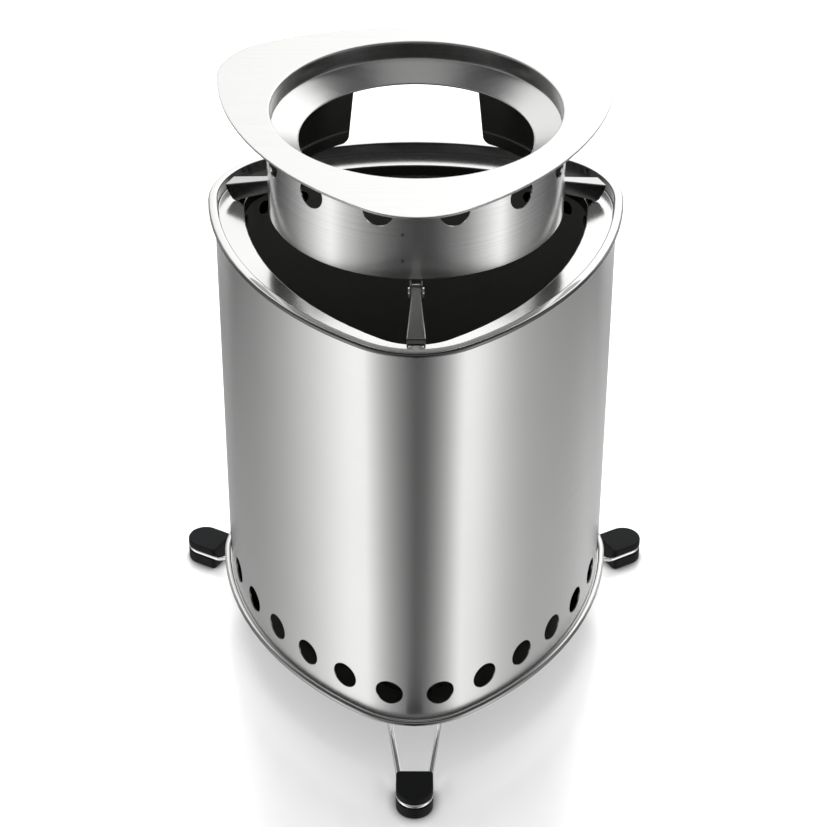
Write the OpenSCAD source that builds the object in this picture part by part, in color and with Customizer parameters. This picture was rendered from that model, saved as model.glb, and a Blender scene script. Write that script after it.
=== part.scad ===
// Smokeless fire pit: a double-walled rounded-triangle burner on three fold-out wire legs,
// with a lift-off pot ring that stands on three hinged arms.
// Z is up, the ground is z = 0, and one corner of the body points to -Y.

/* [Body outline] */
// Distance from the centre axis to a corner of the outer wall
corner_reach = 115; // [108:1:125]
// Radius of the rounded corners of the outer wall
corner_r = 46; // [42:1:55]
// Radius of the bowed sides of the outer wall
side_r = 180; // [160:1:230]
// Height from the middle of the base bead to the middle of the rim bead
body_h = 231.3; // [190:0.1:280]
// Thickness of the body's sheet steel
sheet = 0.8; // [0.6:0.1:1.2]
// Gap between sheets that are nested and welded
seam = 0.1; // [0.05:0.05:0.2]

/* [Rim and base] */
// Radius of the rolled bead round the rim
rim_bead_r = 1.5; // [1.4:0.05:1.7]
// Distance of the rim bead's centre outside the wall
rim_bead_out = 1.75; // [1.6:0.05:2.6]
// Drop from the middle of the rim bead to the top of the ledge
ledge_drop = 5; // [4:0.1:8]
// Width of the ledge, measured inward from the outer wall
ledge_w = 15.6; // [13:0.1:18]
// Depth of the lip turned down at the ledge's inner edge
lip_h = 6; // [4:0.5:8]
// Radius of the rolled bead round the base
base_bead_r = 1.75; // [1.5:0.05:2.2]
// Distance of the base bead's centre outside the wall
base_bead_out = 2; // [1.8:0.05:2.6]
// Height of the pressed base plate above the middle of the base bead
base_rise = 5.3; // [4:0.1:8]

/* [Air holes] */
// Diameter of the vent holes low in the outer wall
vent_d = 15; // [10:0.5:18]
// Height of the vent holes above the middle of the base bead
vent_z = 17.6; // [14:0.1:24]
// Diameter of the second row of air holes, high in the fire chamber
jet_d = 8; // [5:0.5:10]
// Drop from the ledge to the middle of the upper air holes
jet_drop = 14; // [12:0.1:20]
// Number of holes in each row along one third of the outline
holes_per_side = 8; // [5:1:8]

/* [Fire chamber] */
// Height of the chamber's floor flange above the middle of the base bead
chamber_z = 30; // [28:0.5:50]
// Width of the floor flange that carries the grate
flange_w = 10; // [6:0.5:14]
// Thickness of the grate
grate_t = 1.5; // [1:0.1:3]
// Clearance round the grate
grate_gap = 1.2; // [0.8:0.1:3]
// Diameter of the holes in the grate
grate_hole_d = 7; // [4:0.5:8]
// Spacing of the holes in the grate
grate_pitch = 12; // [10:0.5:13]
// Diameter of the grate's middle hole, by which it is lifted out
grate_middle_d = 20; // [14:0.5:26]
// Rings of holes round the middle hole
grate_rings = 4; // [1:1:4]
// Depth of the ash pan
ash_pan_h = 11; // [6:0.5:14]
// Distance by which the ash pan's wall leans in towards its floor
ash_pan_flare = 1.5; // [1:0.5:4]
// Clearance between the ash pan and the flange that it lifts out through
ash_pan_gap = 2; // [1:0.5:6]

/* [Legs] */
// Height of the middle of the base bead above the ground
stand_h = 34; // [32:0.1:50]
// Diameter of the leg wire
leg_wire_d = 3; // [2.5:0.1:3.4]
// Distance from the axis to the leg's hinge line
leg_hinge_r = 83.5; // [78:0.5:90]
// Drop from the base plate to the hinge line
leg_hinge_drop = 4.4; // [4:0.1:7]
// Distance of each wire from the leg's middle at the hinge
leg_half_top = 17.1; // [14:0.1:20]
// Radius of the wire's bend beside the hinge eye
leg_eye_bend_r = 3; // [2:0.5:4]
// Radius of the wire's bend at the foot
leg_foot_bend_r = 4; // [3:0.5:8]
// Amount by which the wire's turned ends are thicker than the wire
leg_end_over = 0.1; // [0.1:0.1:0.4]
// Length of the wire's ends that shows outside the bracket's ears
leg_end_show = 1.6; // [1:0.1:3]
// Radial clearance of the wire's ends in the bracket's holes
leg_pin_gap = 0.06; // [0.03:0.01:0.1]
// Side clearance between the wire's bends and the ears
leg_ear_gap = 0.2; // [0.1:0.1:0.5]
// Width of the metal round each hinge hole
leg_eye_wall = 2; // [1.5:0.1:2.3]
// Distance from the leg bracket's hinge line to its front and back edges
leg_bracket_reach = 7; // [6:0.5:9]
// Thickness of the leg bracket's sheet
leg_bracket_t = 1.2; // [1:0.1:1.6]
// Clearance between the opened leg and its stop
leg_stop_gap = 0.3; // [0.2:0.1:0.6]

/* [Feet] */
// Width of a rubber foot
foot_w = 19.6; // [16:0.1:24]
// Height of a rubber foot
foot_h = 13.5; // [12:0.1:16]
// Height of the leg wire in the foot above the ground
foot_wire_h = 8; // [5:0.1:9]
// Distance from the axis to the inner end of a foot
foot_inner_r = 131.3; // [128:0.1:136]
// Length of a rubber foot
foot_len = 22.4; // [18:0.1:30]
// Clearance of the wire in the foot's groove
groove_gap = 0.05; // [0.05:0.05:0.2]
// Radius of the foot's inner corners
foot_corner_r = 2; // [1:0.5:4]
// Radius of the foot's rounded top and bottom edges
foot_edge_r = 0.8; // [0.4:0.1:1.5]

/* [Pot ring] */
// Distance from the axis to a corner of the ring plate
plate_reach = 110.6; // [100:0.1:115]
// Radius of the ring plate's corners
plate_corner_r = 42.3; // [38:0.1:48]
// Radius of the ring plate's bowed sides
plate_side_r = 177; // [160:1:210]
// Thickness of the ring plate
plate_t = 1; // [0.8:0.1:1.5]
// Height of the ring plate's top above the ledge
ring_h = 76.4; // [65:0.1:95]
// Diameter of the round pot recess
recess_d = 146; // [130:0.5:150]
// Depth of the pot recess
recess_depth = 9.6; // [6:0.1:12]
// Radius of the rounded edge between the plate and the recess
recess_edge_r = 0.9; // [0.5:0.1:1.5]
// Diameter of the flame hole
flame_d = 118.2; // [100:0.1:125]
// Drop of the sloping seat from the recess wall to the flame hole
seat_drop = 7.5; // [3:0.1:10]

/* [Collar] */
// Height of the collar below the ring plate
collar_h = 53.6; // [46:0.1:60]
// Gap between the recess wall and the collar
collar_gap = 0.4; // [0.2:0.1:1]
// Thickness of the collar's sheet
collar_t = 0.8; // [0.6:0.1:1.2]
// Height of the hem folded up inside the collar's lower edge
hem_h = 6.2; // [4:0.1:8]
// Diameter of the collar's holes
collar_hole_d = 15; // [10:0.5:17]
// Drop from the plate's top to the middle of the collar's holes
collar_hole_drop = 19; // [18:0.5:24]
// Angle between neighbouring holes
collar_hole_step = 28.5; // [26:0.5:32]
// Number of holes on each side of the front
collar_holes_per_side = 5; // [3:1:5]
// Half of the fuel opening's width at the collar's lower edge
feed_half_low = 35.8; // [20:0.1:40]
// Half of the fuel opening's width under the plate
feed_half_top = 30.2; // [20:0.1:36]
// Radius of the rounded lower corners beside the fuel opening
feed_corner_r = 4; // [2:0.5:6]

/* [Arm brackets] */
// Clearance between the arm and each ear
ear_gap = 0.15; // [0.1:0.05:0.3]
// Thickness of the ears
ear_t = 0.8; // [0.6:0.1:1]
// Width of the metal outside the arm's own eye, round each hinge hole
ear_over = 0.4; // [0.2:0.1:1]
// Clearance between the ears and the collar's lower edge
ear_collar_gap = 0.4; // [0.2:0.1:1]
// Distance by which the ears reach inward behind the collar
ear_reach = 5; // [4:0.5:8]
// Clearance between the bracket and the collar's hem
hem_gap = 0.3; // [0.2:0.1:1]
// Thickness of the plate welded inside the collar
bracket_t = 1.6; // [1.6:0.1:2]
// Half of the width of the plate welded inside the collar
bracket_half = 10; // [7:0.5:14]
// Height of the plate welded inside the collar
bracket_h = 24; // [16:0.5:30]

/* [Arms] */
// Angle from the front arm to each side arm
arm_turn = 115; // [112:0.5:120]
// Distance from the axis to the arms' hinge line
arm_hinge_r = 76.6; // [76:0.1:79]
// Drop from the collar's lower edge to the hinge line
arm_hinge_drop = 6.8; // [5:0.1:8]
// Diameter of the hinge rivet
arm_pin_d = 2.5; // [2:0.1:2.8]
// Radial clearance of the rivet in the arm and the ears
arm_pin_gap = 0.06; // [0.03:0.01:0.1]
// Diameter of the rivet's heads
arm_head_d = 5.2; // [4:0.1:6]
// Thickness of the rivet's heads
arm_head_t = 0.8; // [0.6:0.1:1.2]
// Clearance between the arm's tip and the rim's inner wall
arm_tip_gap = 4.9; // [0.5:0.1:6]
// Height of the arm's top above its hinge line
arm_crown = 3; // [2.6:0.1:3.4]
// Height of the arm's tip above the ledge
arm_tip_h = 8.9; // [7:0.1:10]
// Width of the arm at the hinge
arm_w_in = 4.4; // [3.6:0.1:5]
// Width of the arm at its tip
arm_w_out = 9.4; // [8:0.1:14]
// Thickness of the arm's sheet
arm_t = 0.8; // [0.6:0.1:1]
// Depth of the arm's sides at the hinge
arm_d_in = 6; // [5:0.1:6.4]
// Distance from the hinge at which the arm's sides start to deepen
arm_knee_x = 9; // [6:0.5:12]
// Depth that the arm's sides gain up to there
arm_knee_drop = 1.5; // [0.5:0.1:2.5]
// Radius of the rounded pad on which the arm rests
arm_pad_r = 3; // [2:0.1:3.5]
// Distance from the pad to the arm's tip
arm_pad_inset = 1.1; // [0.5:0.1:3]
// Height of the pad above the ledge
arm_rest_gap = 0.3; // [0.2:0.1:0.5]

/* [Hidden] */
$fn = 64;
corner_steps = 12;
side_steps = 16;
bead_steps = 12;
edge_steps = 2;
wire_sides = 12;
slack = 1;
edge_r = sheet;

body_shape = [corner_reach, corner_r, side_r];
plate_shape = [plate_reach, plate_corner_r, plate_side_r];

base_z = stand_h;
rim_z = stand_h + body_h;
ledge_z = rim_z - ledge_drop;
base_plate_z = base_z + base_rise;
web_half = sheet / 2;
wall_bottom_z = base_z + web_half;
wall_top_z = rim_z + rim_bead_r - sheet;
riser_out = -sheet - seam;
rim_in = -2 * sheet - seam;
chamber_in = -ledge_w + sheet + seam;
chamber_out = chamber_in + sheet;
chamber_floor_z = base_z + chamber_z;
flange_in = chamber_in - flange_w;
grate_z = chamber_floor_z + sheet;
ash_pan_z = base_plate_z + sheet;
ash_pan_out = flange_in - ash_pan_gap;
punch_h = 4 * sheet + 2 * slack;

leg_wire_r = leg_wire_d / 2;
leg_end_r = (leg_wire_d + leg_end_over) / 2;
leg_hinge_z = base_plate_z - leg_hinge_drop;
leg_eye_r = leg_end_r + leg_eye_wall;
leg_half_foot = foot_w / 2 - leg_wire_r;
foot_outer_r = foot_inner_r + foot_len;
foot_nose_r = foot_outer_r - foot_w / 2;
leg_ankle_r = foot_inner_r - leg_foot_bend_r / 2;
leg_ear_in = leg_half_top + leg_eye_bend_r + leg_ear_gap;
leg_ear_out = leg_ear_in + leg_bracket_t;
leg_end_half = leg_ear_out + leg_end_show;
leg_slope = (leg_hinge_z - foot_wire_h) / (leg_ankle_r - leg_hinge_r);
leg_top_rise = leg_wire_r * norm([1, leg_slope]) + leg_stop_gap;
leg_stop_z = leg_hinge_z - leg_slope * (leg_bracket_reach - leg_bracket_t) + leg_top_rise;

plate_z = ledge_z + ring_h;
plate_under_z = plate_z - plate_t;
recess_r = recess_d / 2;
flame_r = flame_d / 2;
recess_z = plate_z - recess_depth;
collar_in_r = recess_r + plate_t + collar_gap;
collar_out_r = collar_in_r + collar_t;
collar_z = plate_under_z - collar_h;
hem_in_r = collar_in_r - collar_t - seam;

arm_hinge_z = collar_z - arm_hinge_drop;
arm_pin_r = arm_pin_d / 2;
arm_tip_r = corner_reach + rim_in - arm_tip_gap;
arm_run = arm_tip_r - arm_hinge_r;
arm_fall = arm_hinge_z - ledge_z - arm_tip_h;
arm_span = norm([arm_run, arm_fall]);
arm_pitch = asin(arm_fall / arm_span) + asin(arm_crown / arm_span);
arm_len = sqrt(arm_span * arm_span - arm_crown * arm_crown);
arm_eye_r = arm_d_in - arm_crown;
ear_in = arm_w_in / 2 + ear_gap;
ear_out = ear_in + ear_t;
ear_eye_r = arm_eye_r + ear_over;
bracket_z = collar_z + hem_h + hem_gap;
ear_back_r = hem_in_r - hem_gap;

side_mid_r = side_r - side_centre(body_shape);
back_reach = side_mid_r + max(rim_bead_out + rim_bead_r, base_bead_out + base_bead_r);
centre_y = (foot_outer_r - back_reach) / 2;

function unit(v) = v / norm(v);
function polar(r, t) = r * [cos(t), sin(t)];
function arc(centre, r, from, to, steps) =
    [for (i = [0:steps]) centre + polar(r, from + (to - from) * i / steps)];
function inner_points(list) = [for (i = [1:len(list) - 2]) list[i]];
function at_height(points, z) = [for (p = points) [p[0], p[1], z]];

// A rounded triangle is [reach, corner radius, side radius]: three corner arcs joined
// by three bowed side arcs that run into them smoothly.
function corner_centre(s) = s[0] - s[1];
function side_centre(s) =
    let (half_base = corner_centre(s) * cos(30))
    sqrt(pow(s[2] - s[1], 2) - half_base * half_base) - corner_centre(s) / 2;
function side_half(s) = atan2(corner_centre(s) * cos(30), corner_centre(s) / 2 + side_centre(s));

// The outline of shape s moved out by o, as points counter-clockwise from the -Y corner
function outline(s, o) =
    let (half = side_half(s), turn = 60 - half)
    [for (k = [0:2])
        let (c = -90 + 120 * k, m = c + 60)
        let (round_end = arc(polar(corner_centre(s), c), s[1] + o, c - turn, c + turn, corner_steps))
        let (bow = arc(-polar(side_centre(s), m), s[2] + o, m - half, m + half, side_steps))
        for (p = concat(round_end, inner_points(bow))) p];

// The outline of shape s, moved out by o, at each height of a profile of [o, z] points
function outline_loops(s, profile) = [for (p = profile) at_height(outline(s, p[0]), p[1])];

// Length of one third of the outline, and the place and direction at a length l along it
function third_length(s) = (s[1] * (60 - side_half(s)) + s[2] * side_half(s)) * 2 * PI / 180;
function outline_spot(s, o, l) =
    let (half = side_half(s), turn = 60 - half)
    let (corner_l = s[1] * turn * PI / 180, side_l = 2 * s[2] * half * PI / 180)
    l < corner_l
        ? spot(polar(corner_centre(s), -90), s[1] + o, -90 + degrees(l / s[1]))
    : l < corner_l + side_l
        ? spot(-polar(side_centre(s), -30), s[2] + o, -30 - half + degrees((l - corner_l) / s[2]))
    : spot(polar(corner_centre(s), 30), s[1] + o, 30 - turn + degrees((l - corner_l - side_l) / s[1]));
function spot(centre, r, t) = concat(centre + polar(r, t), t);
function degrees(radians) = radians * 180 / PI;

// A smooth bend of radius r at b between the straight runs a-b and b-c
function bend(a, b, c, r, steps) =
    let (u = unit(b - a), v = unit(c - b), turn = acos(u * v))
    let (run = r * tan(turn / 2), middle = b + unit(v - u) * r / cos(turn / 2))
    let (p = b - u * run - middle, q = b + v * run - middle)
    [for (i = [0:steps])
        let (t = turn * i / steps)
        middle + (p * sin(turn - t) + q * sin(t)) / sin(turn)];

// The skin over a row of point loops with equal counts: joined into a ring, or with closed ends
module skin(loops, is_ring = false) {
    n = len(loops[0]);
    m = len(loops);
    points = [for (loop = loops) for (p = loop) p];
    sides = [for (j = [0:is_ring ? m - 1 : m - 2]) for (i = [0:n - 1])
        let (a = j * n, b = (j + 1) % m * n, i2 = (i + 1) % n)
        [a + i, a + i2, b + i2, b + i]];
    first = [for (i = [n - 1:-1:0]) i];
    last = [for (i = [0:n - 1]) (m - 1) * n + i];
    polyhedron(points, is_ring ? sides : concat(sides, [first, last]));
}

// A round wire of radius r along a path that never runs straight up
module wire(path, r) {
    last = len(path) - 1;
    skin([for (i = [0:last])
        let (t = unit(path[min(i + 1, last)] - path[max(i - 1, 0)]))
        let (n = unit(cross([0, 0, 1], t)), b = cross(n, t))
        [for (k = [0:wire_sides - 1])
            let (a = 360 * k / wire_sides)
            path[i] + r * (n * cos(a) + b * sin(a))]]);
}

// Centres the whole object on the origin
module placed() {
    translate([0, centre_y, 0]) children();
}

// Turns a piece drawn outward along +X to the front, right or left corner
module corner(k) {
    placed() rotate([0, 0, -90 + 120 * k]) children();
}

// Turns a piece drawn outward along +X to the front, right or left arm
module arm_side(k) {
    placed() rotate([0, 0, -90 + [0, arm_turn, -arm_turn][k]]) children();
}

// Places a piece drawn on a hinge line, with its Z along that line
module on_line(r, z) {
    translate([r, 0, z]) rotate([90, 0, 0]) children();
}

// A pair of equal flat pieces, each from in to in + t beside the middle of a hinge line
module pair(in, t) {
    for (side = [-1, 1]) {
        translate([0, 0, side * (in + t / 2) - t / 2]) linear_extrude(t) children();
    }
}

module tube_wall(s, out, in, from_z, to_z) {
    h = to_z - from_z;
    difference() {
        translate([0, 0, from_z]) linear_extrude(h) polygon(outline(s, out));
        translate([0, 0, from_z - slack]) linear_extrude(h + 2 * slack) polygon(outline(s, in));
    }
}

// A round tube standing at from_z
module pipe(r_out, r_in, from_z, h) {
    translate([0, 0, from_z]) difference() {
        cylinder(r = r_out, h = h);
        translate([0, 0, -slack]) cylinder(r = r_in, h = h + 2 * slack);
    }
}

// Punches a row of round holes through a wall whose outer face is at offset o
module hole_row(s, o, z, d) {
    pitch = third_length(s) / holes_per_side;
    for (k = [0:2]) {
        for (i = [0:holes_per_side - 1]) {
            at = outline_spot(s, o, (i + 0.5) * pitch);
            rotate([0, 0, 120 * k]) translate([at[0], at[1], z]) rotate([0, 90, at[2]])
                cylinder(d = d, h = punch_h, center = true);
        }
    }
}

// Body
module base_pan() {
    bead_start = 180 - asin(web_half / base_bead_r);
    riser_in = riser_out - sheet;
    profile = concat(
        arc([riser_out - edge_r, base_plate_z + sheet - edge_r], edge_r, 90, 0, edge_steps),
        [[riser_out, base_z + web_half]],
        arc([base_bead_out, base_z], base_bead_r, bead_start, -bead_start, bead_steps),
        [[riser_in, base_z - web_half],
            [riser_in, base_plate_z - web_half],
            [riser_in - web_half, base_plate_z]]);
    color("silver") placed() skin(outline_loops(body_shape, profile));
}

module outer_shell() {
    color("silver") placed() difference() {
        tube_wall(body_shape, 0, -sheet, wall_bottom_z, wall_top_z);
        hole_row(body_shape, 0, base_z + vent_z, vent_d);
    }
}

module rim_ring() {
    under_bead = 180 - asin((rim_bead_r - sheet) / rim_bead_r);
    lip_out = -ledge_w + sheet;
    wall_out = rim_in + sheet;
    profile = concat(
        arc([rim_bead_out, rim_z], rim_bead_r, 450, under_bead, bead_steps),
        [[wall_out, wall_top_z],
            [wall_out, ledge_z - sheet],
            [lip_out, ledge_z - sheet],
            [lip_out, ledge_z - lip_h],
            [-ledge_w, ledge_z - lip_h]],
        arc([-ledge_w + edge_r, ledge_z - edge_r], edge_r, 180, 90, edge_steps),
        arc([rim_in - edge_r, ledge_z + edge_r], edge_r, 270, 360, edge_steps),
        arc([rim_in + edge_r, rim_z + rim_bead_r - edge_r], edge_r, 180, 90, edge_steps));
    color("gainsboro") placed() skin(outline_loops(body_shape, profile), true);
}

module fire_chamber() {
    floor_top = chamber_floor_z + sheet;
    color("dimgray") placed() difference() {
        union() {
            tube_wall(body_shape, chamber_out, chamber_in, chamber_floor_z, ledge_z - sheet);
            tube_wall(body_shape, chamber_in + sheet / 2, flange_in, chamber_floor_z, floor_top);
        }
        hole_row(body_shape, chamber_out, ledge_z - jet_drop, jet_d);
    }
}

module fire_grate() {
    color("dimgray") placed() translate([0, 0, grate_z]) difference() {
        linear_extrude(grate_t) polygon(outline(body_shape, chamber_in - grate_gap));
        translate([0, 0, -slack]) cylinder(d = grate_middle_d, h = grate_t + 2 * slack);
        for (ring = [1:grate_rings]) {
            count = 6 * (ring + 1);
            ring_r = grate_middle_d / 2 + ring * grate_pitch;
            for (i = [0:count - 1]) {
                rotate([0, 0, 360 * i / count]) translate([ring_r, 0, -slack])
                    cylinder(d = grate_hole_d, h = grate_t + 2 * slack);
            }
        }
    }
}

module ash_pan() {
    top = ash_pan_z + ash_pan_h;
    wall_in = ash_pan_out - sheet;
    half_edge = edge_r / 2;
    profile = concat(
        [[wall_in - ash_pan_flare, ash_pan_z + sheet],
            [wall_in, top - half_edge]],
        arc([ash_pan_out - half_edge, top - half_edge], half_edge, 135, 0, edge_steps),
        arc([ash_pan_out - ash_pan_flare - edge_r, ash_pan_z + edge_r], edge_r, 0, -90, edge_steps));
    color("gray") placed() skin(outline_loops(body_shape, profile));
}

// Legs
module leg_bracket(k) {
    reach = leg_bracket_reach;
    top = base_plate_z - leg_hinge_z;
    ear = concat([[-leg_eye_r, top]], arc([0, 0], leg_eye_r, 180, 360, 16), [[leg_eye_r, top]]);
    top_plate = [2 * reach, 2 * leg_ear_out, leg_bracket_t];
    stop_plate = [leg_bracket_t, 2 * leg_ear_out, base_plate_z - leg_stop_z];
    color("silver") corner(k) difference() {
        union() {
            translate([leg_hinge_r - reach, -leg_ear_out, base_plate_z - leg_bracket_t]) cube(top_plate);
            translate([leg_hinge_r + reach - leg_bracket_t, -leg_ear_out, leg_stop_z]) cube(stop_plate);
            on_line(leg_hinge_r, leg_hinge_z) pair(leg_ear_in, leg_bracket_t) polygon(ear);
        }
        on_line(leg_hinge_r, leg_hinge_z)
            cylinder(r = leg_end_r + leg_pin_gap, h = 2 * leg_ear_out + 2 * slack, center = true);
    }
}

module leg_wire(k) {
    stub = [leg_hinge_r, leg_ear_in, leg_hinge_z];
    hip = [leg_hinge_r, leg_half_top, leg_hinge_z];
    ankle = [leg_ankle_r, leg_half_foot, foot_wire_h];
    toe = [foot_nose_r, leg_half_foot, foot_wire_h];
    one_side = concat(
        [stub],
        bend(stub, hip, ankle, leg_eye_bend_r, 6),
        bend(hip, ankle, toe, leg_foot_bend_r, 4));
    nose = at_height(arc([foot_nose_r, 0], leg_half_foot, 90, -90, 14), foot_wire_h);
    other_side = [for (i = [len(one_side) - 1:-1:0]) [one_side[i][0], -one_side[i][1], one_side[i][2]]];
    end_in = leg_ear_in - slack / 2;
    color("silver") corner(k) union() {
        wire(concat(one_side, nose, other_side), leg_wire_r);
        on_line(leg_hinge_r, leg_hinge_z) pair(end_in, leg_end_half - end_in) circle(r = leg_end_r);
    }
}

// Outline of a foot that is half wide on each side of its middle
function foot_outline(half, inner_r) =
    let (r = foot_corner_r)
    concat(
        arc([foot_nose_r, 0], half, -90, 90, 20),
        arc([inner_r + r, half - r], r, 90, 180, 4),
        arc([inner_r + r, r - half], r, 180, 270, 4));

module leg_foot(k) {
    half = foot_w / 2;
    groove_half = leg_wire_r + groove_gap;
    profile = concat(
        arc([half - foot_edge_r, foot_h - foot_edge_r], foot_edge_r, 90, 0, edge_steps),
        arc([half - foot_edge_r, foot_edge_r], foot_edge_r, 0, -90, edge_steps));
    loops = [for (p = profile) at_height(foot_outline(p[0], foot_inner_r + half - p[0]), p[1])];
    color("#1c1c1c") corner(k) difference() {
        skin(loops);
        translate([0, 0, foot_wire_h - groove_half]) linear_extrude(2 * groove_half) difference() {
            polygon(foot_outline(half + slack, foot_inner_r - slack));
            polygon(foot_outline(leg_half_foot - groove_half, foot_inner_r - slack - 2 * foot_corner_r));
        }
    }
}

// Pot ring
module ring_plate() {
    seat_angle = atan2(seat_drop, recess_r - flame_r);
    seat_low_z = recess_z - seat_drop;
    wall_out = recess_r + plate_t;
    under_wall_z = recess_z + plate_t * (tan(seat_angle) - 1 / cos(seat_angle));
    join_r = recess_r + recess_edge_r + plate_t;
    profile = concat(
        arc([recess_r + recess_edge_r, plate_z - recess_edge_r], recess_edge_r, 90, 180, 4),
        [[recess_r, recess_z],
            [flame_r, seat_low_z],
            [flame_r + plate_t * sin(seat_angle), seat_low_z - plate_t * cos(seat_angle)],
            [wall_out, under_wall_z],
            [wall_out, plate_under_z],
            [join_r + slack, plate_under_z],
            [join_r + slack, plate_z]]);
    color("whitesmoke") placed() union() {
        difference() {
            translate([0, 0, plate_under_z]) linear_extrude(plate_t) polygon(outline(plate_shape, 0));
            translate([0, 0, plate_under_z - slack]) cylinder(r = join_r, h = plate_t + 2 * slack);
        }
        rotate_extrude() polygon(profile);
    }
}

module ring_collar() {
    hole_z = plate_z - collar_hole_drop;
    hole_h = collar_out_r - hem_in_r + 2 * slack;
    color("silver") placed() difference() {
        union() {
            pipe(collar_out_r, collar_in_r, collar_z, collar_h);
            pipe(collar_in_r + collar_t / 2, hem_in_r, collar_z, hem_h);
        }
        for (side = [-1, 1]) {
            for (i = [0:collar_holes_per_side - 1]) {
                translate([0, 0, hole_z]) rotate([90, 0, side * (i + 0.5) * collar_hole_step])
                    translate([0, 0, hem_in_r - slack]) cylinder(d = collar_hole_d, h = hole_h);
            }
        }
        feed_opening();
    }
}

// The fuel opening at the back, wider at the bottom, with rounded corners on the collar beside it
module feed_opening() {
    low = 2 * feed_corner_r;
    top = collar_h + low;
    rotate([90, 0, 180]) translate([0, collar_z, 0]) linear_extrude(2 * collar_out_r)
        offset(r = -feed_corner_r) offset(delta = feed_corner_r) union() {
            polygon([[-feed_half_low, 0], [feed_half_low, 0], [feed_half_top, collar_h], [feed_half_top, top],
                [-feed_half_top, top], [-feed_half_top, collar_h]]);
            translate([-collar_out_r, -low]) square([2 * collar_out_r, low]);
        }
}

// Arms
module arm_bracket(k) {
    back_x = ear_back_r - arm_hinge_r;
    in_x = back_x - ear_reach;
    top = bracket_z + bracket_h - arm_hinge_z;
    low = collar_z - ear_collar_gap - arm_hinge_z;
    ear = concat(
        [[back_x, top],
            [in_x, top - ear_reach],
            [in_x, arm_crown]],
        arc([0, 0], ear_eye_r, 200, 360, 12),
        [[ear_eye_r, low],
            [back_x, low]]);
    color("silver") arm_side(k) difference() {
        union() {
            intersection() {
                pipe(collar_in_r - seam, collar_in_r - seam - bracket_t, bracket_z, bracket_h);
                translate([0, -bracket_half, bracket_z]) cube([collar_out_r, 2 * bracket_half, bracket_h]);
            }
            on_line(arm_hinge_r, arm_hinge_z) pair(ear_in, ear_t) polygon(ear);
        }
        on_line(arm_hinge_r, arm_hinge_z)
            cylinder(r = arm_pin_r + arm_pin_gap, h = 2 * ear_out + 2 * slack, center = true);
    }
}

module arm_pin(k) {
    color("silver") arm_side(k) on_line(arm_hinge_r, arm_hinge_z) union() {
        cylinder(r = arm_pin_r, h = 2 * ear_out + arm_head_t, center = true);
        pair(ear_out, arm_head_t) circle(d = arm_head_d);
    }
}

// The arm is a channel, open below, drawn level along +X from its hinge and then tipped down
module arm(k) {
    far = 2 * arm_w_out;
    pad_x = arm_len - arm_pad_r - arm_pad_inset;
    pad_fall = arm_hinge_z - ledge_z - arm_rest_gap - arm_pad_r;
    pad_z = -(pad_fall - pad_x * sin(arm_pitch)) / cos(arm_pitch);
    side_shape = concat(
        arc([0, 0], arm_eye_r, 180, 250, 6),
        [[arm_knee_x, -arm_eye_r - arm_knee_drop]],
        arc([pad_x, pad_z], arm_pad_r, 225, 350, 10),
        [[arm_len, 0],
            [arm_len, arm_crown],
            [-arm_eye_r, arm_crown]]);
    color("silver") arm_side(k) translate([arm_hinge_r, 0, arm_hinge_z]) rotate([0, arm_pitch, 0])
        difference() {
            intersection() {
                rotate([90, 0, 0]) translate([0, 0, -far / 2]) linear_extrude(far) polygon(side_shape);
                translate([0, 0, -far]) linear_extrude(2 * far) arm_plan(0, slack);
            }
            translate([0, 0, -far]) linear_extrude(far + arm_crown - arm_t) arm_plan(arm_t, -arm_t);
            rotate([90, 0, 0]) cylinder(r = arm_pin_r + arm_pin_gap, h = far, center = true);
        }
}

// The arm seen from above, drawn in by the given amount at the sides and ending at arm_len + end
module arm_plan(in, end) {
    start = in > 0 ? -arm_eye_r - slack : -arm_eye_r;
    tip = arm_len + end;
    w_in = arm_w_in / 2 - in;
    w_out = arm_w_out / 2 - in;
    half_plan = [[start, w_in], [arm_eye_r, w_in], [tip, w_out]];
    polygon(concat(half_plan, [for (i = [2:-1:0]) [half_plan[i][0], -half_plan[i][1]]]));
}

base_pan();
outer_shell();
rim_ring();
fire_chamber();
fire_grate();
ash_pan();
leg_bracket(0);  // leg_bracket_front
leg_bracket(1);  // leg_bracket_right
leg_bracket(2);  // leg_bracket_left
leg_wire(0);  // leg_wire_front
leg_wire(1);  // leg_wire_right
leg_wire(2);  // leg_wire_left
leg_foot(0);  // leg_foot_front
leg_foot(1);  // leg_foot_right
leg_foot(2);  // leg_foot_left
ring_plate();
ring_collar();
arm_bracket(0);  // arm_bracket_front
arm_bracket(1);  // arm_bracket_right
arm_bracket(2);  // arm_bracket_left
arm_pin(0);  // arm_pin_front
arm_pin(1);  // arm_pin_right
arm_pin(2);  // arm_pin_left
arm(0);  // arm_front
arm(1);  // arm_right
arm(2);  // arm_left
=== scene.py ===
import math

import bpy
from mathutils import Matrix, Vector


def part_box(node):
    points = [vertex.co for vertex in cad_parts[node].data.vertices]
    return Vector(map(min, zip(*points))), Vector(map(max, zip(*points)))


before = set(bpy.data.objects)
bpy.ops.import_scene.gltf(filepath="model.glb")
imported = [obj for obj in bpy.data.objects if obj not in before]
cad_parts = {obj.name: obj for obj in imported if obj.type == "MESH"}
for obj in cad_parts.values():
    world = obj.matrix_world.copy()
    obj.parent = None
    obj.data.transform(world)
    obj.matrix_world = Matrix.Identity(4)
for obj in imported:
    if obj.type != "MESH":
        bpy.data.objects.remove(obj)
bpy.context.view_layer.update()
scene = bpy.context.scene

MM = 0.001

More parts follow.
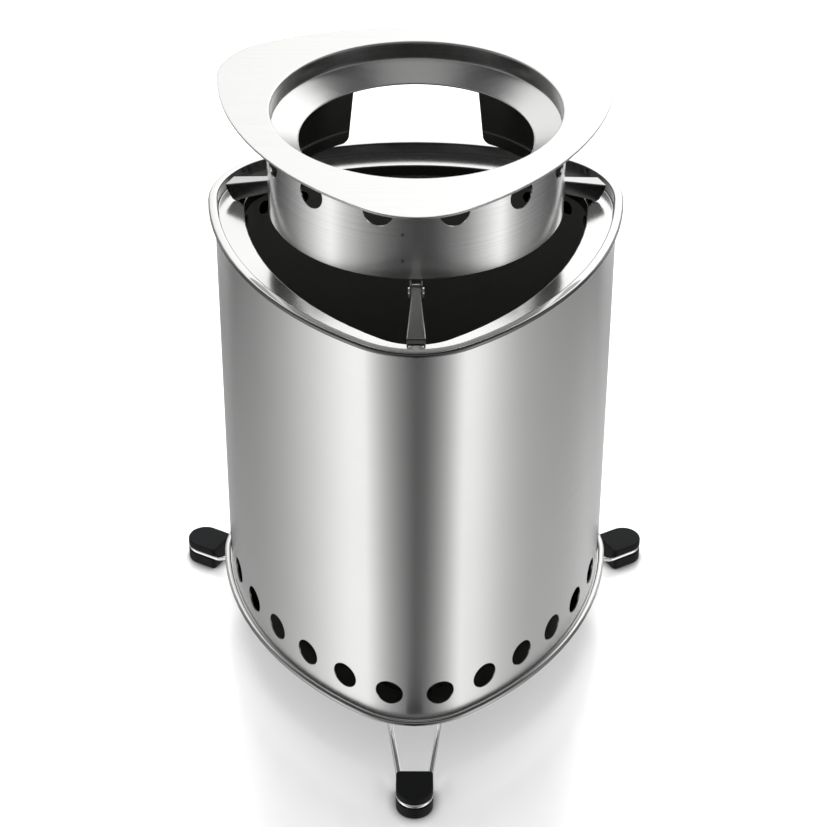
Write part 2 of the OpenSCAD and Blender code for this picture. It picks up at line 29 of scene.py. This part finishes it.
# Camera, fitted to the outlines, holes and feet in the photograph
IMAGE_W, IMAGE_H = 831, 827
CAMERA_AT = (-3.27 * MM, -1062.308 * MM, 899.271 * MM)
CAMERA_TURN_DEG = (55.5547, -0.1759, -0.0325)
FOCAL_PX = 2449.85
CENTRE_PX = (414.54, 413.5)
SENSOR_MM = 36
CLIP_START, CLIP_END = 0.05, 20

camera_data = bpy.data.cameras.new("camera")
camera = bpy.data.objects.new("camera", camera_data)
scene.collection.objects.link(camera)
camera.location = CAMERA_AT
camera.rotation_euler = [math.radians(a) for a in CAMERA_TURN_DEG]
camera_data.sensor_width = SENSOR_MM
camera_data.lens = FOCAL_PX * SENSOR_MM / IMAGE_W
camera_data.shift_x = (IMAGE_W / 2 - CENTRE_PX[0]) / IMAGE_W
camera_data.shift_y = (CENTRE_PX[1] - IMAGE_H / 2) / IMAGE_W
camera_data.clip_start = CLIP_START
camera_data.clip_end = CLIP_END
scene.camera = camera
scene.view_settings.view_transform = "Standard"

# Outline of the body's walls: three corner arcs joined by three flatter side arcs
CORNER_REACH = 115 * MM
CORNER_R = 46 * MM
SIDE_R = 180 * MM
AXIS_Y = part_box("outer_shell")[0][1] + CORNER_REACH

# Spot welds that hold the arm brackets, seen on the outside of the collar
COLLAR_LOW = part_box("ring_collar")[0][2]
COLLAR_R = (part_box("ring_collar")[1][0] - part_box("ring_collar")[0][0]) / 2
BRACKET_TURNS_DEG = (0, 115, -115)
WELD_TURN_DEG = -95
WELD_HEIGHTS = (9.9 * MM, 24.6 * MM)
WELD_FADE = (1.1 * MM, 0.6 * MM)
WELD_TONE = 0.45

# Tilt of a face, 0 for upright and 1 for level, at which a painted shade mask starts and at which it is
# full
LEVEL_TILT = (0.5, 0.8)
CREST_TILT = (0.80, 0.97)
COLLAR_EDGE_TILT = (0.2, 0.6)
# How far a face looks away from the body's axis, 1 for straight outwards
INWARD_LOOK = (-0.35, -0.65)
# Part of a bead's painted shade that lies on all its flanks.
FLANK_SHARE = 0.9
# Heights above the collar's lower edge between which the painted shade of its lower edges fades
COLLAR_EDGE_HEIGHT = (16 * MM, 14 * MM)

# Noise lies mostly between these values
NOISE_SPAN = (0.3, 0.7)
CLOUD_SCALE = 18.0
GRAIN_ROUGHNESS_SPREAD = 0.07
STEEL_WARMTH = 0.99
POLISH_FADE = 0.4 * MM
POLISH = 0.3
FOLD_SAMPLES = 6

SHARP_EDGE = math.radians(50)
MERGE_DISTANCE = 1e-6
WALL_LOOK = 0.97


class Nodes:
    """Builds a node tree with short calls."""

    def __init__(self, tree):
        self.tree = tree
        tree.nodes.clear()

    def add(self, kind, inputs=None, **settings):
        node = self.tree.nodes.new(kind)
        for key, value in settings.items():
            setattr(node, key, value)
        for key, value in (inputs or {}).items():
            socket = node.inputs[key]
            if isinstance(value, bpy.types.NodeSocket):
                self.tree.links.new(value, socket)
            else:
                socket.default_value = value
        return node

    def maths(self, operation, a, b=0.0):
        return self.add("ShaderNodeMath", {0: a, 1: b}, operation=operation).outputs[0]

    def vector(self, operation, a, b=(0, 0, 0)):
        node = self.add("ShaderNodeVectorMath", {0: a, 1: b}, operation=operation)
        return node.outputs["Value" if operation in ("DOT_PRODUCT", "DISTANCE") else "Vector"]

    def scaled(self, a, factor):
        inputs = {0: a, "Scale": factor}
        return self.add("ShaderNodeVectorMath", inputs, operation="SCALE").outputs["Vector"]

    def part(self, a, axis):
        return self.add("ShaderNodeSeparateXYZ", {0: a}).outputs[axis]

    def above(self, a, limit):
        """True where a is over the limit, in a geometry tree."""
        return self.add("FunctionNodeCompare", {0: a, 1: limit}, operation="GREATER_THAN").outputs[0]

    def chosen(self, switch, when_false, when_true):
        """One of two vectors, in a geometry tree."""
        inputs = {"Switch": switch, "False": when_false, "True": when_true}
        return self.add("GeometryNodeSwitch", inputs, input_type="VECTOR").outputs[0]

    def between(self, value, start, end):
        """0 before start, 1 past end, and a smooth step between them."""
        inputs = {"Value": value, "From Min": start, "From Max": end}
        return self.add("ShaderNodeMapRange", inputs, interpolation_type="SMOOTHSTEP").outputs[0]

    def shaded(self, level, mask, factor):
        """The level where the mask is 0, and the level times the factor where it is 1."""
        change = self.maths("ADD", self.maths("MULTIPLY", mask, factor - 1), 1.0)
        return self.maths("MULTIPLY", level, change)

    def noise(self, place, scale, detail, roughness=0.5):
        inputs = {"Vector": place, "Scale": scale, "Detail": detail, "Roughness": roughness}
        return self.add("ShaderNodeTexNoise", inputs).outputs["Fac"]

    def spread(self, noise, low, high):
        """Noise turned into values from low to high."""
        start, end = NOISE_SPAN
        inputs = {"Value": noise, "From Min": start, "From Max": end, "To Min": low, "To Max": high}
        return self.add("ShaderNodeMapRange", inputs).outputs[0]

    def mixed(self, factor, a, b):
        inputs = {"Factor": factor, "A": a, "B": b}
        return self.add("ShaderNodeMix", inputs, data_type="RGBA").outputs["Result"]

    def mixed_shader(self, factor, a, b):
        return self.add("ShaderNodeMixShader", {0: factor, 1: a, 2: b}).outputs[0]

    def ramp(self, factor, stops):
        node = self.add("ShaderNodeValToRGB", {"Fac": factor})
        elements = node.color_ramp.elements
        while len(elements) < len(stops):
            elements.new(0.5)
        for element, (place, level) in zip(elements, stops):
            element.position = place
            element.color = grey(level)
        return node.outputs["Color"]


def grey(level):
    return level, level, level, 1


def material(name):
    result = bpy.data.materials.new(name)
    result.use_nodes = True
    return result, Nodes(result.node_tree)


def upright_faces(nodes, coords):
    """1 on faces that stand upright and 0 on level ones, as a mask for painted shade."""
    tilt = nodes.maths("ABSOLUTE", nodes.part(coords["Normal"], "Z"))
    return nodes.maths("SUBTRACT", 1.0, nodes.between(tilt, *LEVEL_TILT))


def inward_faces(nodes, coords):
    """1 on faces that look towards the body's axis and 0 on the others, as a mask for painted shade."""
    place = nodes.vector("SUBTRACT", coords["Object"], (0, AXIS_Y, 0))
    outward = nodes.vector("NORMALIZE", nodes.vector("MULTIPLY", place, (1, 1, 0)))
    look = nodes.vector("DOT_PRODUCT", coords["Normal"], outward)
    return nodes.between(look, *INWARD_LOOK)


def bead_flanks(nodes, coords):
    """Painted shade mask: 0 on a rolled bead's crest, high on its flanks and 1 on those that look inwards.
    """
    tilt = nodes.maths("ABSOLUTE", nodes.part(coords["Normal"], "Z"))
    flanks = nodes.maths("SUBTRACT", 1.0, nodes.between(tilt, *CREST_TILT))
    inward = nodes.maths("MULTIPLY", inward_faces(nodes, coords), 1 - FLANK_SHARE)
    return nodes.maths("ADD", nodes.maths("MULTIPLY", flanks, FLANK_SHARE), inward)


def collar_inside(nodes, coords):
    """Painted shade mask: 1 on the collar's inner face and on the upward edges near its foot."""
    upward = nodes.between(nodes.part(coords["Normal"], "Z"), *COLLAR_EDGE_TILT)
    start, end = COLLAR_EDGE_HEIGHT
    low = nodes.between(nodes.part(coords["Object"], "Z"), COLLAR_LOW + start, COLLAR_LOW + end)
    edge = nodes.maths("MULTIPLY", upward, low)
    return nodes.maths("MAXIMUM", edge, inward_faces(nodes, coords))


def weld_marks():
    """The middle of each spot weld on the collar."""
    marks = []
    for turn_deg in BRACKET_TURNS_DEG:
        angle = math.radians(turn_deg + WELD_TURN_DEG)
        x, y = COLLAR_R * math.cos(angle), AXIS_Y + COLLAR_R * math.sin(angle)
        marks += [(x, y, COLLAR_LOW + height) for height in WELD_HEIGHTS]
    return marks


def steel(name, tone, roughness, mottle=0.03, dark_faces=None, dark=1.0, marks=(),
          grain=None, grain_depth=0.0, streaks=0.0, fold=0.0, polished_above=None,
          stretch=0.0, tangent=None):
    """Stainless steel.

    mottle: how much its broad clouds darken it
    dark_faces, dark: mask of the faces that get painted shade, and the factor of that painted shade
    marks: middles of dark weld marks
    grain, grain_depth: scale of the brushing along each axis, and its depth
    streaks: how much the grain darkens it
    fold: radius of the rounded look of its edges
    polished_above: height above which it is smoother
    stretch, tangent: strength and direction of its stretched highlights
    """
    result, nodes = material(name)
    coords = nodes.add("ShaderNodeTexCoord").outputs
    place = coords["Object"]
    inputs = {"Metallic": 1.0, "Anisotropic": stretch, "Roughness": roughness}
    level = nodes.spread(nodes.noise(place, CLOUD_SCALE, 3.0), 1 - mottle, 1.0)
    # Painted shade: the faces that the mask picks by their facing are darkened by the factor dark
    if dark_faces:
        level = nodes.shaded(level, dark_faces(nodes, coords), dark)
    for mark in marks:
        away = nodes.vector("DISTANCE", place, mark)
        level = nodes.shaded(level, nodes.between(away, *WELD_FADE), WELD_TONE)
    if grain:
        drawn = nodes.add("ShaderNodeMapping", {"Vector": place, "Scale": grain}).outputs[0]
        brushed = nodes.noise(drawn, 1.0, 4.0, 0.6)
        inputs["Roughness"] = nodes.spread(
            brushed, roughness * (1 - GRAIN_ROUGHNESS_SPREAD), roughness * (1 + GRAIN_ROUGHNESS_SPREAD))
        bumps = {"Height": brushed, "Strength": 1.0, "Distance": grain_depth}
        if fold:
            rounded = nodes.add("ShaderNodeBevel", {"Radius": fold}, samples=FOLD_SAMPLES)
            bumps["Normal"] = rounded.outputs[0]
        inputs["Normal"] = nodes.add("ShaderNodeBump", bumps).outputs[0]
        if streaks:
            level = nodes.maths("MULTIPLY", level, nodes.spread(brushed, 1 - streaks, 1.0))
    if polished_above:
        height = nodes.part(place, "Z")
        top = nodes.between(height, polished_above, polished_above + POLISH_FADE)
        inputs["Roughness"] = nodes.shaded(roughness, top, POLISH)
    inputs["Base Color"] = nodes.scaled((tone, tone, tone * STEEL_WARMTH), level)
    if tangent == "upright":
        radial = nodes.add("ShaderNodeTangent", direction_type="RADIAL", axis="Z")
        inputs["Tangent"] = radial.outputs[0]
        inputs["Anisotropic Rotation"] = 0.25
    elif tangent:
        x, y, z = tangent
        inputs["Tangent"] = nodes.add("ShaderNodeCombineXYZ", {"X": x, "Y": y, "Z": z}).outputs[0]
    shader = nodes.add("ShaderNodeBsdfPrincipled", inputs)
    nodes.add("ShaderNodeOutputMaterial", {"Surface": shader.outputs[0]})
    return result


def dark_steel(name):
    """Dark steel, lighter and darker in patches."""
    result, nodes = material(name)
    place = nodes.add("ShaderNodeTexCoord").outputs["Object"]
    patches = nodes.noise(place, 22.0, 4.0)
    colour = nodes.mixed(patches, (0.085, 0.085, 0.078, 1), (0.12, 0.12, 0.112, 1))
    inputs = {"Base Color": colour, "Metallic": 0.25, "Roughness": 0.45}
    shader = nodes.add("ShaderNodeBsdfPrincipled", inputs)
    nodes.add("ShaderNodeOutputMaterial", {"Surface": shader.outputs[0]})
    return result


def rubber(name):
    """Matt black rubber with a fine grit and a little dust."""
    result, nodes = material(name)
    place = nodes.add("ShaderNodeTexCoord").outputs["Object"]
    grit = nodes.noise(place, 1800.0, 2.0)
    bump = nodes.add("ShaderNodeBump", {"Height": grit, "Strength": 0.6, "Distance": 0.04 * MM})
    dust = nodes.noise(place, 140.0, 3.0)
    colour = nodes.mixed(dust, (0.005, 0.0055, 0.006, 1), (0.0085, 0.009, 0.0095, 1))
    inputs = {"Base Color": colour, "Roughness": 0.6, "Specular IOR Level": 0.15, "Normal": bump.outputs[0]}
    shader = nodes.add("ShaderNodeBsdfPrincipled", inputs)
    nodes.add("ShaderNodeOutputMaterial", {"Surface": shader.outputs[0]})
    return result


body_steel = steel(
    "body_steel", 0.80, 0.25, grain=(6, 6, 2500), grain_depth=2.5e-7, stretch=0.9, tangent="upright")
# The collar's inner face and low edges get painted shade
collar_steel = steel(
    "collar_steel", 0.74, 0.17, dark_faces=collar_inside, dark=0.4, marks=weld_marks(),
    grain=(10, 10, 1700), grain_depth=2e-6, streaks=0.10, stretch=0.8, tangent="upright")
# The flanks of the rim's bead and of the base pan's bead get painted shade
rim_steel = steel(
    "rim_steel", 1.0, 0.17, dark_faces=bead_flanks, dark=0.09,
    polished_above=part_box("rim_ring")[1][2] - 4.4 * MM)
bead_steel = steel("bead_steel", 1.0, 0.08, dark_faces=bead_flanks, dark=0.35)
# The plate's upright faces get painted shade
plate_steel = steel(
    "plate_steel", 1.0, 0.20, mottle=0.01, dark_faces=upright_faces, dark=0.45,
    grain=(20, 700, 25), grain_depth=1e-6, streaks=0.04, fold=1.2 * MM, stretch=0.5, tangent=(0, 1, 0))
# The arms' upright faces get painted shade
arm_steel = steel(
    "arm_steel", 0.75, 0.18, dark_faces=upright_faces, dark=0.36,
    grain=(900, 900, 40), grain_depth=5e-7, fold=0.9 * MM)
bracket_steel = steel("bracket_steel", 0.40, 0.25, grain=(900, 900, 40), grain_depth=5e-7)
wire_steel = steel("wire_steel", 1.0, 0.16)
dark_inner_steel = dark_steel("dark_inner_steel")
black_rubber = rubber("black_rubber")

# Material of each kind of piece. A kind is a node's name without its corner
FINISH = {
    "base_pan": bead_steel,
    "outer_shell": body_steel,
    "rim_ring": rim_steel,
    "fire_chamber": dark_inner_steel,
    "fire_grate": dark_inner_steel,
    "ash_pan": arm_steel,
    "leg_bracket": arm_steel,
    "leg_wire": wire_steel,
    "leg_foot": black_rubber,
    "ring_plate": plate_steel,
    "ring_collar": collar_steel,
    "arm_bracket": bracket_steel,
    "arm_pin": wire_steel,
    "arm": arm_steel,
}
CORNERS = ("_front", "_right", "_left")

# Radius of the rounded edges of bent and cut sheet metal
EDGE_ROUND = {"arm": 0.4 * MM, "arm_bracket": 0.2 * MM, "arm_pin": 0.3 * MM}


def side_geometry():
    """Distance of a corner arc's centre from the axis, its half angle, and a side arc's distance."""
    corner_centre = CORNER_REACH - CORNER_R
    half_base = corner_centre * math.cos(math.radians(30))
    side_centre = math.sqrt((SIDE_R - CORNER_R) ** 2 - half_base ** 2) - corner_centre / 2
    half_side = math.atan2(half_base, corner_centre / 2 + side_centre)
    return corner_centre, math.radians(60) - half_side, side_centre


def nearest_direction(nodes, angle, first):
    """The nearest of three directions, 120 degrees apart, as a unit vector."""
    third = math.radians(120)
    steps = nodes.maths("DIVIDE", nodes.maths("SUBTRACT", angle, first), third)
    turned = nodes.maths("MULTIPLY", nodes.maths("ROUND", steps), third)
    turned = nodes.maths("ADD", turned, first)
    unit = {"X": nodes.maths("COSINE", turned), "Y": nodes.maths("SINE", turned)}
    return nodes.add("ShaderNodeCombineXYZ", unit).outputs[0]


def wall_direction(nodes, outline):
    """The outward direction of an upright wall, round or along the body's outline."""
    place = nodes.add("GeometryNodeInputPosition").outputs[0]
    place = nodes.vector("SUBTRACT", place, (0, AXIS_Y, 0))
    level = nodes.vector("MULTIPLY", place, (1, 1, 0))
    if outline == "round":
        return nodes.vector("NORMALIZE", level)
    corner_centre, corner_turn, side_centre = side_geometry()
    angle = nodes.maths("ARCTAN2", nodes.part(level, "Y"), nodes.part(level, "X"))
    corner = nearest_direction(nodes, angle, math.radians(-90))
    side = nearest_direction(nodes, angle, math.radians(-30))
    from_corner = nodes.vector("SUBTRACT", level, nodes.scaled(corner, corner_centre))
    from_corner = nodes.vector("NORMALIZE", from_corner)
    from_side = nodes.vector("ADD", level, nodes.scaled(side, side_centre))
    from_side = nodes.vector("NORMALIZE", from_side)
    near = nodes.vector("DOT_PRODUCT", from_corner, corner)
    return nodes.chosen(nodes.above(near, math.cos(corner_turn)), from_side, from_corner)


def smoothing(name, outline=None):
    """A node group that joins split corners, keeps sharp edges and rounds upright walls."""
    group = bpy.data.node_groups.new(name, "GeometryNodeTree")
    for way in ("INPUT", "OUTPUT"):
        group.interface.new_socket("Geometry", in_out=way, socket_type="NodeSocketGeometry")
    nodes = Nodes(group)
    source = nodes.add("NodeGroupInput").outputs[0]
    joined = nodes.add("GeometryNodeMergeByDistance", {"Geometry": source, "Distance": MERGE_DISTANCE})
    sharp = nodes.above(nodes.add("GeometryNodeInputMeshEdgeAngle").outputs[0], SHARP_EDGE)
    shaped = nodes.add(
        "GeometryNodeSetMeshNormal",
        {"Mesh": joined.outputs[0], "Remove Custom": True, "Edge Sharpness": sharp,
         "Face Sharpness": False},
        mode="SHARPNESS").outputs[0]
    if outline:
        normal = nodes.add("GeometryNodeInputNormal").outputs
        outward = wall_direction(nodes, outline)
        look = nodes.vector("DOT_PRODUCT", normal["True Normal"], outward)
        is_wall = nodes.above(nodes.maths("ABSOLUTE", look), WALL_LOOK)
        turned = nodes.scaled(outward, nodes.maths("SIGN", look))
        shaped = nodes.add(
            "GeometryNodeSetMeshNormal",
            {"Mesh": shaped, "Custom Normal": nodes.chosen(is_wall, normal["Normal"], turned)},
            mode="FREE", domain="CORNER").outputs[0]
    nodes.add("NodeGroupOutput", {0: shaped})
    return group


def round_edges(node, radius):
    bevel = node.modifiers.new("edges", "BEVEL")
    bevel.width = radius
    bevel.segments = 2
    bevel.limit_method = "ANGLE"
    bevel.angle_limit = SHARP_EDGE


WALL_SMOOTHING = {
    "outer_shell": smoothing("smooth_body_walls", "triangle"),
    "fire_chamber": smoothing("smooth_chamber_walls", "triangle"),
    "ring_collar": smoothing("smooth_round_walls", "round"),
}
sheet_smoothing = smoothing("smooth_sheets")
for name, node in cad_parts.items():
    kind = name
    for corner in CORNERS:
        kind = kind.removesuffix(corner)
    node.data.materials.clear()
    node.data.materials.append(FINISH[kind])
    smooth = node.modifiers.new("smooth", "NODES")
    smooth.node_group = WALL_SMOOTHING.get(kind, sheet_smoothing)
    if kind in EDGE_ROUND:
        round_edges(node, EDGE_ROUND[kind])
    if kind not in WALL_SMOOTHING:
        weighted = node.modifiers.new("weighted", "WEIGHTED_NORMAL")
        weighted.keep_sharp = True

# Floor: a lightly polished white table, with a painted contact shadow where a foot stands on it
FLOOR_HALF = 6
FLOOR_GREY = 0.8
FLOOR_SHINE = 0.20
FLOOR_SHINE_ROUGHNESS = 0.18
FLOOR_GLOW = 0.175
CONTACT_SHADOW_GREY = 0.06
CONTACT_SHADOW_REACH = 9 * MM
# Share of open sky above a point, at which the painted contact shadow is full and at which it ends
CONTACT_SHADOW_OPENNESS = (0.25, 0.92)

floor_mesh = bpy.data.meshes.new("floor")
floor_corners = [(x * FLOOR_HALF, y * FLOOR_HALF, 0) for x, y in ((-1, -1), (1, -1), (1, 1), (-1, 1))]
floor_mesh.from_pydata(floor_corners, [], [(0, 1, 2, 3)])
floor = bpy.data.objects.new("floor", floor_mesh)
scene.collection.objects.link(floor)
floor.visible_glossy = False
floor_paint, nodes = material("floor_paint")
matt = nodes.add("ShaderNodeBsdfDiffuse", {"Color": grey(FLOOR_GREY)}).outputs[0]
shine = nodes.add(
    "ShaderNodeBsdfGlossy", {"Color": grey(1), "Roughness": FLOOR_SHINE_ROUGHNESS}).outputs[0]
glow = nodes.add("ShaderNodeEmission", {"Color": grey(1), "Strength": FLOOR_GLOW}).outputs[0]
coated = nodes.mixed_shader(FLOOR_SHINE, matt, shine)
glowing = nodes.add("ShaderNodeAddShader", {0: coated, 1: glow}).outputs[0]
# Painted contact shadow: a dark diffuse where little open sky lies over the floor
painted_contact_shadow = nodes.add("ShaderNodeBsdfDiffuse", {"Color": grey(CONTACT_SHADOW_GREY)}).outputs[0]
openness = nodes.add("ShaderNodeAmbientOcclusion", {"Distance": CONTACT_SHADOW_REACH}).outputs["AO"]
seen = nodes.mixed_shader(nodes.between(openness, *CONTACT_SHADOW_OPENNESS), painted_contact_shadow, glowing)
is_camera = nodes.add("ShaderNodeLightPath").outputs["Is Camera Ray"]
nodes.add("ShaderNodeOutputMaterial", {"Surface": nodes.mixed_shader(is_camera, matt, seen)})
floor_mesh.materials.append(floor_paint)

# Surroundings that the metal mirrors. The stops of both lists are grey levels round the compass:
# 0 and 1 lie behind the body, 0.25 on its left, 0.5 on the camera's side and 0.75 on its right
FLOOR_STOPS = [
    (0.00, 0.34), (0.11, 0.45), (0.17, 0.44), (0.21, 0.52), (0.25, 0.73), (0.28, 1.04),
    (0.315, 1.22), (0.36, 0.86), (0.41, 0.52), (0.46, 0.30), (0.50, 0.135), (0.54, 0.19),
    (0.59, 0.43), (0.64, 0.84), (0.68, 1.22), (0.71, 0.82), (0.74, 0.58), (0.78, 0.51),
    (0.84, 0.60), (0.89, 0.88), (1.00, 0.34)]
ROOM_STOPS = [
    (0.00, 0.05), (0.11, 0.05), (0.17, 0.18), (0.21, 0.38), (0.25, 0.75), (0.28, 1.10),
    (0.31, 1.40), (0.345, 0.75), (0.39, 0.32), (0.44, 0.11), (0.47, 0.045), (0.53, 0.045),
    (0.56, 0.11), (0.61, 0.34), (0.655, 0.90), (0.69, 1.45), (0.715, 0.85), (0.745, 0.42),
    (0.79, 0.22), (0.84, 0.10), (1.00, 0.05)]
UPPER_GREY = 0.38
# Grey levels by height, -1 straight down and 1 straight up
CEILING_STOPS = [(0.45, 0.05), (0.93, 0.05), (0.985, 0.26)]
# Grey levels of the white sweep behind the body, from left to right
SWEEP_STOPS = [(0.40, 0.84), (0.48, 1.0), (0.56, 1.15)]
# Heights over which one zone gives way to the next
FLOOR_TO_ROOM = (-0.56, -0.52)
ROOM_TO_UPPER = (0.0, 0.25)
UPPER_TO_CEILING = (0.45, 0.8)
# The sweep's foot, top and near edge, and the same of the strip of lit floor before it
SWEEP_FOOT = (-0.38, -0.18)
SWEEP_TOP = (0.75, 0.9)
SWEEP_BACK = (0.35, 0.6)
STRIP_FOOT = (-0.52, -0.42)
STRIP_BACK = (0.60, 0.72)
SOFT_LIGHT = 0.9

world = bpy.data.worlds.new("studio")
scene.world = world
world.use_nodes = True
nodes = Nodes(world.node_tree)
direction = nodes.add("ShaderNodeTexCoord").outputs["Generated"]
right, back, height = [nodes.part(direction, axis) for axis in "XYZ"]
azimuth = nodes.maths("ARCTAN2", right, nodes.maths("MULTIPLY", back, -1.0))
compass = nodes.maths("ADD", nodes.maths("DIVIDE", azimuth, 2 * math.pi), 0.5)
near_floor = nodes.ramp(compass, FLOOR_STOPS)
room = nodes.mixed(nodes.between(height, *FLOOR_TO_ROOM), near_floor, nodes.ramp(compass, ROOM_STOPS))
room = nodes.mixed(nodes.between(height, *ROOM_TO_UPPER), room, grey(UPPER_GREY))
room = nodes.mixed(nodes.between(height, *UPPER_TO_CEILING), room, nodes.ramp(height, CEILING_STOPS))
sweep = nodes.maths("MULTIPLY", nodes.between(back, *SWEEP_BACK), nodes.between(height, *SWEEP_FOOT))
strip = nodes.maths("MULTIPLY", nodes.between(back, *STRIP_BACK), nodes.between(height, *STRIP_FOOT))
below_top = nodes.maths("SUBTRACT", 1.0, nodes.between(height, *SWEEP_TOP))
lit = nodes.maths("MULTIPLY", nodes.maths("MAXIMUM", strip, sweep), below_top)
across = nodes.maths("ADD", nodes.maths("MULTIPLY", right, 0.5), 0.5)
mirrored = nodes.mixed(lit, room, nodes.ramp(across, SWEEP_STOPS))
metal_light = nodes.add("ShaderNodeBackground", {"Color": mirrored, "Strength": 1.0}).outputs[0]
soft_light = nodes.add("ShaderNodeBackground", {"Color": grey(1), "Strength": SOFT_LIGHT}).outputs[0]
white = nodes.add("ShaderNodeBackground", {"Color": grey(1), "Strength": 1.0}).outputs[0]
light_path = nodes.add("ShaderNodeLightPath").outputs
light = nodes.mixed_shader(light_path["Is Glossy Ray"], soft_light, metal_light)
light = nodes.mixed_shader(light_path["Is Camera Ray"], light, white)
nodes.add("ShaderNodeOutputWorld", {"Surface": light})

# Soft lamp above and behind the body, aimed at its middle
LAMP_AT = (0.0, 0.8, 1.5)
LAMP_AIM = (0.0, 0.0, 0.15)
LAMP_SIDE = 1.4
LAMP_WATTS = 38

lamp_data = bpy.data.lights.new("top_softbox", "AREA")
lamp_data.size = LAMP_SIDE
lamp_data.energy = LAMP_WATTS
lamp = bpy.data.objects.new("top_softbox", lamp_data)
scene.collection.objects.link(lamp)
lamp.location = LAMP_AT
lamp.rotation_euler = (Vector(LAMP_AIM) - Vector(LAMP_AT)).to_track_quat("-Z", "Y").to_euler()
lamp.visible_glossy = False
